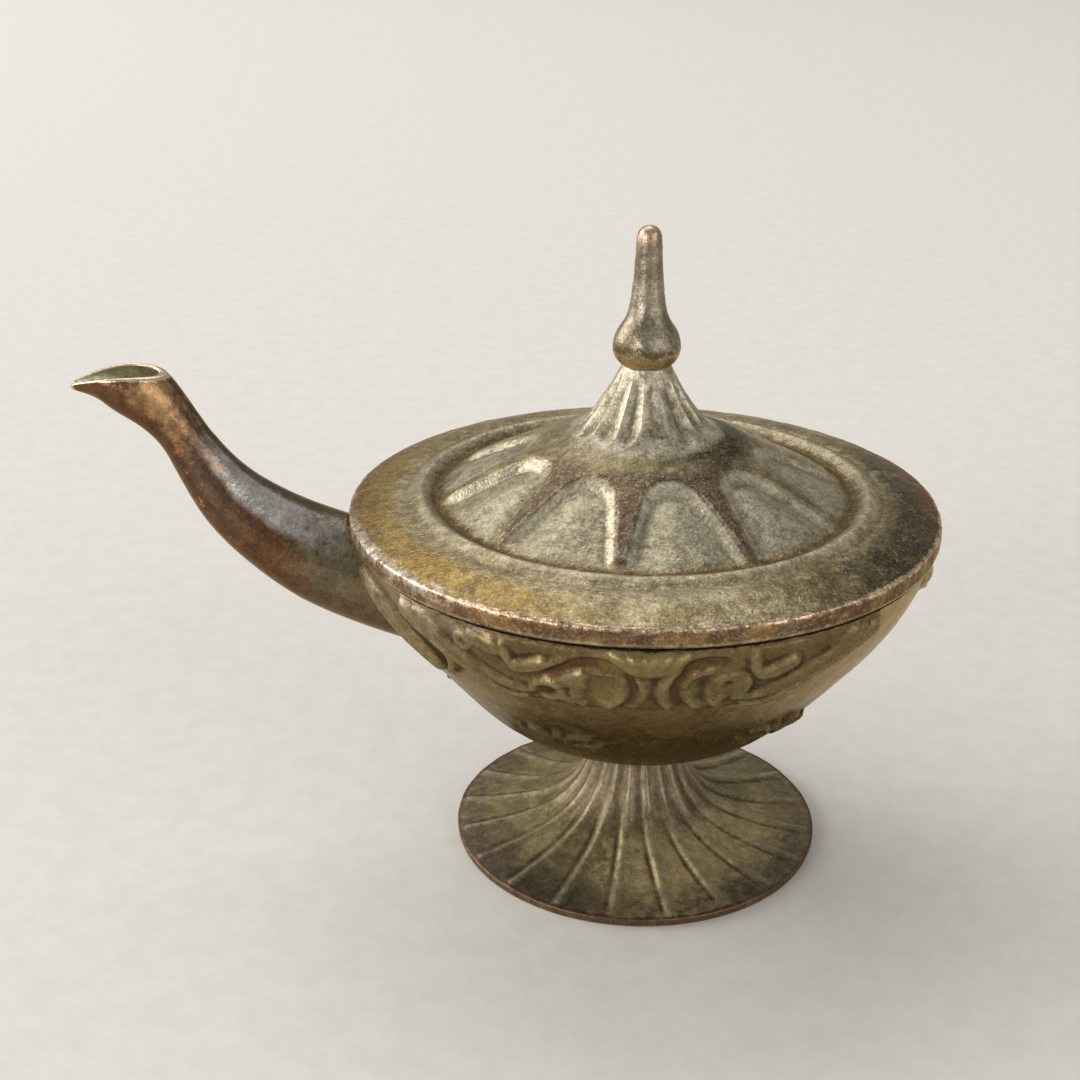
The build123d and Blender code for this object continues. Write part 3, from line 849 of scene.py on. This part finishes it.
def lid_skin():
    cone = trumpet(CONE_RADIUS, CONE_TOP_RADIUS, DOME_TOP, CONE_TOP, CONE_FLARE)[::-1]
    cone = cone[cone[:, 1] > CONE_FILLET]
    crown = smooth([cone[-1], (11.2, 65.95), (15.0, 64.45)], cone[-1] - cone[-2], (1, -0.42))
    dome = smooth([crown[-1], (21.0, 61.75), (27.6, 58.35)], (1, -0.42), (1, -0.54))
    bead = smooth([dome[-1], GROOVE, BEAD_CREST, BEAD_CREASE], (1, -0.54), (1, -0.2))
    zone = smooth([BEAD_CREASE, (38.6, 56.55), (LID_RADIUS - 0.65, BAND_TOP + 0.02)], (1, 0.1))
    band = [zone[-1], (LID_RADIUS - 0.15, BAND_TOP - 0.2), (LID_RADIUS, BAND_TOP - 0.7)]
    band += [(LID_RADIUS - 0.03, SEAT_HEIGHT + 0.5), (LID_RADIUS - 0.35, SEAT_HEIGHT)]
    top = evenly([(STUD_HOLE, CONE_TOP), cone[0]], 0.9)
    slopes = joined(evenly(cone, SLOPE_STEP), evenly(crown, SLOPE_STEP), evenly(dome, SHOWN))
    shown = joined(slopes, evenly(bead, FINE), evenly(zone, SHOWN), evenly(band, FINE))
    under = [band[-1], (LIP_RADIUS, SEAT_HEIGHT), (LIP_RADIUS, LIP_LOW), (LIP_INNER, LIP_LOW)]
    under += [(LIP_INNER, BAND_TOP - 2), CEILING, (BOSS_RADIUS, BOSS_HEIGHT), (STUD_HOLE, BOSS_HEIGHT)]
    under += [(STUD_HOLE, CONE_TOP)]
    hidden = joined(*[evenly(pair, HIDDEN) for pair in zip(under, under[1:])])
    skin = Skin(joined(top, shown, hidden), LID_COLUMNS)
    outside = np.zeros_like(skin.radius)
    outside[len(top) - 1 : len(top) + len(shown) - 2] = 1
    sink_arches(skin, outside)
    sink_flutes(skin, outside)
    dent_band(skin, outside)
    skin.roughen(2.4, 0.06 * outside)
    skin.roughen(0.9, 0.025 * outside)
    skin.mark_wear_dirt_and_shade(SLOPE_STEP)
    mark_lid(skin, outside)
    return skin


def arch_depth(along, across, top, curve):
    """The distance inside an arch that is round at its top, with straight sides that lean apart."""
    ahead = along - top - curve
    beside = curve + ahead * sin(ARCH_LEAN) - across * cos(ARCH_LEAN)
    at_top = ahead * cos(ARCH_LEAN) + across * sin(ARCH_LEAN) < 0
    return np.where(at_top, curve - np.hypot(ahead, across), beside)


def sink_arches(skin, outside):
    """Ten arched panels sunk into the dome, with sloping sides and swollen floors."""
    aside = skin.offset(ARCHES, ARCH_TURN)
    along, across = skin.radius * np.cos(aside), np.abs(skin.radius * np.sin(aside))
    outer = arch_depth(along, across, ARCH_TOP, ARCH_CURVE)
    floor = arch_depth(along, across, ARCH_FLOOR_TOP, ARCH_FLOOR_CURVE)
    on_dome = outside * rise(skin.radius, 30.4, 27.4) * (skin.radius > CONE_RADIUS)
    slope = np.clip(outer / np.maximum(outer - floor, 0.01), 0, 1) * (outer > 0)
    swell = rise(floor, -0.3, 4.5)
    skin.push -= on_dome * ARCH_DEPTH * (slope**1.2 - 0.5 * swell)
    skin.marks["panel"] = on_dome * rise(floor, -0.4, 0.8)
    skin.marks["bevel"] = on_dome * rise(slope, 0.05, 0.5) * rise(floor, 0.5, -0.2)
    skin.marks["star"] = on_dome * rise(outer, 0.8, 0.1) * rise(skin.radius, 12.5, 16)
    skin.marks["crown"] = outside * rise(skin.radius, 18, 13) * rise(skin.radius, 9, 11.5)


def sink_flutes(skin, outside):
    """Shallow flutes around the cone, round at their lower ends and uneven from one to the next."""
    drift = 0.05 * np.sin(3 * skin.turn + 1) + 0.04 * np.sin(5 * skin.turn + 2)
    across = np.abs(skin.offset(FLUTES, FLUTE_TURN, drift)) * FLUTES / pi
    low = skin.along[np.argmax(skin.height[:, 0] < CONE_FILLET - 1.3)]
    climb = low - skin.along
    end = 0.7 * np.sin(4 * skin.turn + 2) + 0.5 * np.sin(7 * skin.turn)
    reach = rise(climb - 1.3 * across**2 - end, 0, 2.4) * rise(climb, 11.4, 7)
    flute = outside * reach * (1 - across**1.2) * (0.4 + 0.9 * skin.field(3.5))
    skin.push -= 0.75 * flute
    skin.marks["cone"] = outside * rise(skin.radius, CONE_RADIUS + 2.2, CONE_RADIUS - 0.5)
    # The flutes are darkened with painted shade
    skin.marks["flute"] = flute


def dent_band(skin, outside):
    """The rim's edge, a little knocked and uneven."""
    near = outside * rise(skin.radius, LID_RADIUS - 1.6, LID_RADIUS - 0.3)
    skin.push += near * 0.16 * (skin.field(5) - 0.55)
    skin.push -= near * 0.3 * rise(skin.field(1.7), 0.74, 0.9)


def mark_lid(skin, outside):
    """Where the lid's patina is golden, dark, rusty or crusted, with a painted highlight on the pale front,
    painted shade over the dark right side and the crown's right, and painted shade in the groove.
    """
    radius, height, marks = skin.radius, skin.height, skin.marks
    inward = LID_RADIUS - radius
    zone = outside * rise(radius, 33.5, 36)
    edge_zone = outside * rise(radius, 37.5, 42.5)
    back_and_left = highest(0.7 * skin.toward(215, 80), 0.3 * skin.toward(60, 50))
    marks["gold"] = zone * skin.toward(195, 85) * rise(radius, 33.5, 39.5)
    # Dark right side of the zone: dark patina and painted shade
    marks["shade"] = outside * rise(radius, 33, 38) * skin.toward(-16, 66)
    marks["rust"] = edge_zone * highest(skin.toward(14, 40), 0.8 * skin.toward(165, 55))
    # A painted highlight on the front of the zone, beside the pale patina at the back and left
    front = 0.9 * skin.toward(-88, 28)
    marks["pale"] = zone * rise(radius, 41, 35) * highest(back_and_left, front)
    marks["star"] = marks["star"] * skin.toward(-95, 90)
    # The crown's right: dark patina and painted shade
    marks["crown_patina_and_shade"] = marks["crown"] * skin.toward(-12, 90)
    marks["band"] = outside * rise(inward, 0.75, 0.3)
    marks["bead"] = outside * hump(radius, BEAD_CREST[0], 1.5)
    # Painted shade in the groove inside the bead
    marks["groove"] = outside * hump(radius, GROOVE[0] - 0.2, 1.0)
    corner = hump(inward, 0.22, 0.26) * rise(height, BAND_TOP - 0.7, BAND_TOP - 0.3)
    foot = marks["band"] * rise(height, SEAT_HEIGHT + 0.6, SEAT_HEIGHT + 0.1)
    marks["copper"] = outside * highest(corner, 0.6 * foot)
    marks["crust"] = outside * rise(inward, 1.8, 0.5) * rise(height, 53.2, 54.6) * skin.toward(206, 34)
    marks["inside"] = 1 - outside


# Finial


def finial_skin():
    tip = smooth([(0, FINIAL_TOP), (1.2, FINIAL_TOP - 0.4), (1.77, FINIAL_TOP - 1.7)], (1, 0), (0.1, -1))
    knots = [tip[-1], (2.1, 88.6), (2.56, 84.8), (3.1, 82.9), (4.1, 81.3), (4.81, 79.0), (4.45, 77.2)]
    body = smooth(knots + [(FINIAL_BASE, CONE_TOP)], (0.05, -1), (-1, -0.4))
    stud = [body[-1], (STUD_RADIUS, CONE_TOP), (STUD_RADIUS, STUD_LOW), (0.4, STUD_LOW)]
    outline = joined(evenly(tip, 0.15)[1:], evenly(body, FINIAL_STEP), evenly(stud, 0.8))
    skin = Skin(outline, FINIAL_COLUMNS, ring=False)
    shown = rise(skin.height, CONE_TOP - 0.1, CONE_TOP + 0.1)
    skin.push += shown * 0.12 * (skin.field(2.2) - 0.5)
    skin.push -= shown * 0.12 * rise(skin.field(0.9), 0.72, 0.9)
    skin.roughen(0.6, 0.02 * shown)
    skin.mark_wear_dirt_and_shade(FINIAL_STEP, edge=(0.01, 0.05), hollow=(0.02, 0.2))
    skin.marks["tip"] = rise(skin.height, 91.5, 95.8)
    skin.marks["shadow"] = shown * rise(skin.height, 80.2, 78.6)
    skin.marks["under"] = shown * rise(skin.height, 78.8, 77.4)
    skin.marks["inside"] = 1 - shown
    return skin


# Materials


def tone(red, green, blue):
    """A colour as it looks on a screen, from 0 to 255, as the linear colour that a shader takes."""
    shares = [value / 255 for value in (red, green, blue)]
    return [s / 12.92 if s < 0.04045 else ((s + 0.055) / 1.055) ** 2.4 for s in shares] + [1]


# Wax over the patina leaves this share of each layer's roughness
WAXED = 0.75


class Patina:
    """A metal that is built up in layers, each with a colour, a roughness and a share of metal."""

    def __init__(self, name, first, second, rough, metal):
        self.material = bpy.data.materials.new(name)
        self.material.use_nodes = True
        self.tree = self.material.node_tree
        self.shader = self.tree.nodes["Principled BSDF"]
        self.places = self.node("ShaderNodeTexCoord").outputs["Object"]
        self.grit = self.span(self.noise(1.7, 9, 0.72), 0.3, 0.7)
        self.fine = self.noise(0.42, 3, 0.6)
        mottle = self.span(self.noise(5, 7, 0.66), 0.36, 0.64)
        self.colour = self.blend("RGBA", mottle, tone(*first), tone(*second))
        middle = WAXED * rough
        self.rough = self.span(self.noise(1.1, 5, 0.6), 0.25, 0.75, middle - 0.1, middle + 0.1)
        self.metal = metal

    def node(self, kind, **settings):
        node = self.tree.nodes.new(kind)
        for key, value in settings.items():
            setattr(node, key, value)
        return node

    def feed(self, socket, value):
        """Links a socket to another, or sets it."""
        if isinstance(value, bpy.types.NodeSocket):
            self.tree.links.new(value, socket)
        else:
            socket.default_value = value

    def feed_all(self, sockets, values):
        for socket, value in zip(sockets, values):
            self.feed(socket, value)

    def fill(self, node, inputs):
        """Links or sets a node's inputs by their names."""
        for name, value in inputs.items():
            self.feed(node.inputs[name], value)

    def noise(self, size, detail, roughness):
        node = self.node("ShaderNodeTexNoise")
        self.fill(node, {"Vector": self.places, "Scale": 1 / (size * MM)})
        self.fill(node, {"Detail": detail, "Roughness": roughness})
        return node.outputs["Fac"]

    def mark(self, name):
        return self.node("ShaderNodeAttribute", attribute_name=name).outputs["Fac"]

    def span(self, value, low, high, to_low=0.0, to_high=1.0):
        node = self.node("ShaderNodeMapRange", interpolation_type="SMOOTHSTEP")
        self.feed_all(node.inputs, (value, low, high, to_low, to_high))
        return node.outputs["Result"]

    def math(self, operation, *values):
        node = self.node("ShaderNodeMath", operation=operation)
        self.feed_all(node.inputs, values)
        return node.outputs["Value"]

    def blend(self, kind, share, first, second, mode="MIX"):
        node = self.node("ShaderNodeMix", data_type=kind, blend_type=mode)
        sockets = [s for s in node.inputs if s.enabled and s.type in (kind, "VALUE")]
        self.feed_all(sockets, (share, first, second))
        return next(s for s in node.outputs if s.enabled)

    def layer(self, mask, colour, rough, metal, most=1.0, ragged=0.9, soft=0.4):
        """Covers at most a share of the layers below where a mask, or the mark of that name, is high."""
        if isinstance(mask, str):
            mask = self.mark(mask)
        torn = self.math("MULTIPLY_ADD", self.grit, ragged, mask)
        middle = 0.5 + 0.5 * ragged
        share = self.span(torn, middle - soft, middle + soft, 0.0, most)
        share = self.math("MULTIPLY", share, self.span(mask, 0.0, 0.3))
        self.colour = self.blend("RGBA", share, self.colour, tone(*colour))
        self.rough = self.blend("FLOAT", share, self.rough, WAXED * rough)
        self.metal = self.blend("FLOAT", share, self.metal, metal)

    def done(self, grain, depth, glitter=1.0):
        """Mottles and specks the colour, adds the cast grain and gives the material."""
        mottle = self.span(self.noise(1.5, 6, 0.7), 0.3, 0.7, 1 - 0.7 * grain, 1 + 0.7 * grain)
        speck = self.span(self.fine, 0.28, 0.72, 1 - 0.5 * grain, 1 + 0.5 * grain)
        for share in (mottle, speck):
            self.colour = self.blend("RGBA", 1.0, self.colour, share, "MULTIPLY")
        pits = self.span(self.noise(0.8, 4, 0.62), 0.36, 0.27, 0.0, grain)
        self.colour = self.blend("RGBA", pits, self.colour, tone(38, 30, 20))
        glint = self.span(self.noise(0.36, 2, 0.5), 0.56, 0.74, 0.0, glitter * 1.4 * grain)
        self.colour = self.blend("RGBA", glint, self.colour, tone(226, 208, 170))
        bump = self.node("ShaderNodeBump")
        height = self.math("MULTIPLY_ADD", self.noise(0.9, 5, 0.6), 1.6, self.fine)
        height = self.math("MULTIPLY_ADD", pits, -0.5, height)
        self.fill(bump, {"Strength": 0.8, "Distance": depth * MM, "Height": height})
        self.fill(self.shader, {"Normal": bump.outputs["Normal"], "Base Color": self.colour})
        self.fill(self.shader, {"Roughness": self.rough, "Metallic": self.metal})
        self.fill(self.shader, {"Specular IOR Level": 0.2, "Specular Tint": tone(232, 214, 184)})
        return self.material


# Dark dirt and painted shade for the hollows
DIRT_AND_SHADE = (46, 38, 27)


def lid_bronze():
    patina = Patina("lid_bronze", (164, 151, 118), (124, 110, 78), 0.4, 0.64)
    layer = patina.layer
    # Pale patina, with a painted highlight on the front
    layer("pale", (170, 159, 133), 0.4, 0.55, 0.8)
    layer("gold", (144, 116, 62), 0.4, 0.7, 0.85)
    # Dark right side: dark patina and painted shade
    layer("shade", (44, 34, 21), 0.48, 0.5, 0.95, soft=0.6)
    layer("rust", (112, 70, 48), 0.44, 0.66, 0.8)
    layer("crown", (132, 122, 92), 0.46, 0.55, 0.75)
    # The crown's right: dark patina and painted shade
    layer("crown_patina_and_shade", (34, 26, 15), 0.52, 0.45, 0.96, soft=0.6)
    layer("star", (86, 67, 58), 0.34, 0.7, 0.9, 0.7, 0.5)
    layer("cone", (180, 170, 150), 0.42, 0.55, 0.85)
    layer("bevel", (198, 188, 166), 0.24, 0.6, 0.7, 0.8)
    layer("panel", (162, 154, 132), 0.38, 0.5, 0.85)
    layer("bead", (172, 162, 138), 0.4, 0.45, 0.65)
    blotch = patina.span(patina.noise(3.4, 9, 0.75), 0.5, 0.6)
    blotch = patina.math("SUBTRACT", blotch, patina.mark("inside"))
    layer(blotch, (116, 104, 76), 0.44, 0.55, 0.45)
    layer("band", (100, 74, 54), 0.4, 0.72, 0.9)
    streak = patina.math("MULTIPLY", patina.span(patina.noise(4, 5, 0.6), 0.48, 0.62), patina.mark("band"))
    layer(streak, (142, 112, 72), 0.36, 0.74, 0.7)
    # Painted shade in the groove
    layer("groove", (88, 66, 36), 0.5, 0.5, 0.9, 0.6)
    # Painted shade in the flutes
    layer("flute", (104, 92, 74), 0.5, 0.5, 0.45, 0.6, 0.5)
    # The hollows: dark dirt and painted shade
    layer("hollow", (78, 64, 40), 0.55, 0.5, 0.3)
    layer("inside", (108, 94, 68), 0.5, 0.64, ragged=0.3)
    layer("edge", (208, 196, 166), 0.3, 0.8, 0.3, 1.3)
    layer("copper", (222, 188, 158), 0.3, 0.86, 0.85, 1.5)
    layer("crust", (178, 173, 162), 0.4, 0.6, 0.65, 2.6, 0.5)
    return patina.done(0.5, 0.1, 0.5)


def bowl_bronze():
    patina = Patina("bowl_bronze", (120, 101, 66), (94, 77, 48), 0.32, 0.7)
    layer = patina.layer
    # Painted shade: darker towards the bottom of the bowl
    layer("low", (64, 51, 30), 0.36, 0.68, 0.9)
    layer("ground", (106, 88, 59), 0.38, 0.66, 0.6, 0.4)
    # Painted highlight on the plain front-right flank
    layer("flank", (180, 156, 114), 0.34, 0.66, 0.75, 0.6, 0.6)
    layer("relief", (132, 117, 80), 0.38, 0.7, 0.5, 1.0)
    # The hollows: dark dirt and painted shade
    layer("hollow", DIRT_AND_SHADE, 0.5, 0.5, 0.75, 0.6)
    layer("channel", (98, 70, 48), 0.44, 0.6, 0.65, 0.5)
    layer("gold", (134, 122, 70), 0.42, 0.6, 0.6, 0.9)
    # Dark dirt and painted shade in the crevices
    layer("crevice", (46, 36, 23), 0.5, 0.5, 0.55, 0.7, 0.5)
    layer("inside", (104, 88, 60), 0.5, 0.64, ragged=0.4)
    # Pale crests: wear and a painted highlight
    layer("edge", (156, 142, 104), 0.34, 0.76, 0.3, 1.8, 0.6)
    # Streaky pale patch: wear and a painted sheen
    layer("wear_and_sheen", (150, 141, 124), 0.3, 0.76, 0.4, 2.0, 0.7)
    # Painted shade in the gap under the lid
    layer("gap", (24, 17, 10), 0.9, 0.0, ragged=0.6, soft=0.3)
    return patina.done(0.28, 0.05, 0.2)


def foot_bronze():
    patina = Patina("foot_bronze", (130, 118, 82), (104, 92, 62), 0.58, 0.5)
    layer = patina.layer
    # Painted light on the front of the foot
    layer("front", (182, 161, 115), 0.58, 0.42, 0.8)
    layer("neck", (114, 99, 79), 0.54, 0.55, 0.85)
    layer("rim", (74, 61, 56), 0.5, 0.55, 0.9, 0.9, 0.7)
    # The hollows: dark dirt and painted shade
    layer("hollow", DIRT_AND_SHADE, 0.7, 0.45, 0.4)
    # Painted shade in the ribs' furrows
    layer("furrow", (68, 60, 40), 0.7, 0.4, 0.65, 0.8, 0.6)
    layer("rib", (150, 137, 115), 0.56, 0.5, 0.6, 1.0, 0.5)
    layer("under", (96, 84, 60), 0.55, 0.6, ragged=0.4)
    layer("edge", (158, 144, 116), 0.44, 0.55, 0.25, 1.3)
    layer("lip", (92, 66, 54), 0.42, 0.65, 0.8, 1.2)
    return patina.done(0.34, 0.06, 0.2)


def spout_bronze():
    patina = Patina("spout_bronze", (122, 84, 59), (92, 63, 45), 0.28, 0.76)
    layer = patina.layer
    layer("root", (114, 107, 84), 0.34, 0.66, 0.85, 1.3, 0.6)
    layer("neck", (96, 84, 72), 0.32, 0.7, 0.6, soft=0.6)
    layer("sheen", (200, 195, 186), 0.26, 0.76, 0.9, 0.6, 0.8)
    # Painted shade on the underside
    layer("belly", (84, 57, 39), 0.32, 0.72, 0.7, soft=0.6)
    layer("throat", (180, 142, 98), 0.34, 0.74, 0.8, 1.2, 0.6)
    # Painted dark reflection along the top
    layer("top", (66, 55, 32), 0.38, 0.64, 0.85, soft=0.6)
    fleck = patina.math("MULTIPLY", patina.span(patina.noise(2.2, 3, 0.6), 0.6, 0.66), patina.mark("neck"))
    layer(fleck, (186, 116, 70), 0.34, 0.82, 0.6)
    layer("inside", (176, 170, 132), 0.42, 0.6, ragged=0.4)
    layer("lip", (222, 200, 172), 0.3, 0.82, 0.9, 1.0)
    return patina.done(0.34, 0.05, 0.2)


def finial_bronze():
    patina = Patina("finial_bronze", (158, 147, 129), (118, 106, 87), 0.34, 0.7)
    layer = patina.layer
    layer("shadow", (92, 74, 50), 0.38, 0.68, 0.8)
    layer("under", (164, 130, 46), 0.36, 0.72, 0.9, 0.6)
    # The hollows: dark dirt and painted shade
    layer("hollow", DIRT_AND_SHADE, 0.6, 0.45, 0.4)
    layer("tip", (190, 152, 132), 0.36, 0.8, 0.85)
    layer("edge", (200, 188, 160), 0.3, 0.88, 0.45, 1.2)
    return patina.done(0.36, 0.08, 0.2)


def fastener_brass():
    patina = Patina("fastener_brass", (178, 144, 76), (142, 110, 56), 0.34, 0.9)
    patina.layer(patina.noise(1.4, 6, 0.7), (86, 66, 40), 0.55, 0.5, ragged=0.3, soft=0.12)
    return patina.done(0.25, 0.02)


def solder_grey():
    patina = Patina("solder_grey", (156, 154, 148), (120, 116, 108), 0.4, 0.85)
    patina.layer(patina.noise(1.1, 6, 0.7), (92, 84, 70), 0.6, 0.5, ragged=0.3, soft=0.12)
    return patina.done(0.25, 0.03)


def floor_paint():
    paint = Patina("floor_paint", (220, 215, 206), (215, 210, 200), 0.94, 0.0)
    paint.fill(paint.shader, {"Base Color": paint.colour, "Roughness": paint.rough})
    return paint.material


# The lamp's pieces


def make_pieces():
    dress(foot_skin().piece("foot_casting"), "base", "pedestal_foot", foot_bronze())
    dress(drilled(bowl_skin().piece("bowl_casting")), "base", "bowl", bowl_bronze())
    grid, rows = spout_piece()
    horn = grid_piece("spout_casting", grid, spout_marks(grid, rows))
    dress(horn, "base", "spout", spout_bronze())
    dress(lid_skin().piece("lid_casting"), "lid", "lid", lid_bronze())
    dress(finial_skin().piece("finial_casting"), "lid", "finial", finial_bronze())


def repaint(node, material):
    """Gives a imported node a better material."""
    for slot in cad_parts[node].material_slots:
        slot.material = material


def make_fasteners():
    brass = fastener_brass()
    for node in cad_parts:
        if node.endswith(("_washer", "_screw", "_nut")):
            repaint(node, brass)
    repaint("spout_solder_ring", solder_grey())


# Stage, light and camera

CAMERA_PLACE = (-15.1, -226.5, 146.3)
CAMERA_DOWN = 23.28
CAMERA_LENS = 55.34
FLOOR_HALF = 8.0
LAMP_MIDDLE = (0, 0, 0.05)
SKY_COLOUR = (0.95, 0.97, 1, 1)
SKY_STRENGTH = 0.38


def make_stage():
    bpy.ops.mesh.primitive_plane_add(size=2 * FLOOR_HALF)
    floor = bpy.context.object
    floor.name = "floor"
    floor.data.materials.append(floor_paint())


def soft_lamp(name, place, size, watts):
    """A square light that faces the oil lamp's middle, placed in metres."""
    data = bpy.data.lights.new(name, "AREA")
    data.size = size
    data.energy = watts
    lamp = add_object(name, data)
    lamp.location = place
    lamp.rotation_euler = (Vector(place) - Vector(LAMP_MIDDLE)).to_track_quat("Z", "Y").to_euler()


def make_light():
    world = bpy.data.worlds.new("studio")
    world.use_nodes = True
    background = world.node_tree.nodes["Background"]
    background.inputs["Color"].default_value = SKY_COLOUR
    background.inputs["Strength"].default_value = SKY_STRENGTH
    scene.world = world
    soft_lamp("window", (-2.7, 0.8, 1.35), 2.4, 80)
    soft_lamp("overhead", (-0.4, 1.8, 2.75), 2.4, 36)
    soft_lamp("fill", (-2.6, -2.4, 0.95), 1.8, 60)
    soft_lamp("side", (2.8, -2.6, 1.15), 3.2, 54)


def make_camera():
    data = bpy.data.cameras.new("camera")
    data.lens = CAMERA_LENS
    data.clip_start = 0.01
    camera = add_object("camera", data)
    camera.location = Vector(CAMERA_PLACE) * MM
    camera.rotation_euler = (radians(90 - CAMERA_DOWN), 0, 0)
    scene.camera = camera


make_pieces()
make_fasteners()
make_stage()
make_light()
make_camera()
scene.view_settings.view_transform = "Standard"
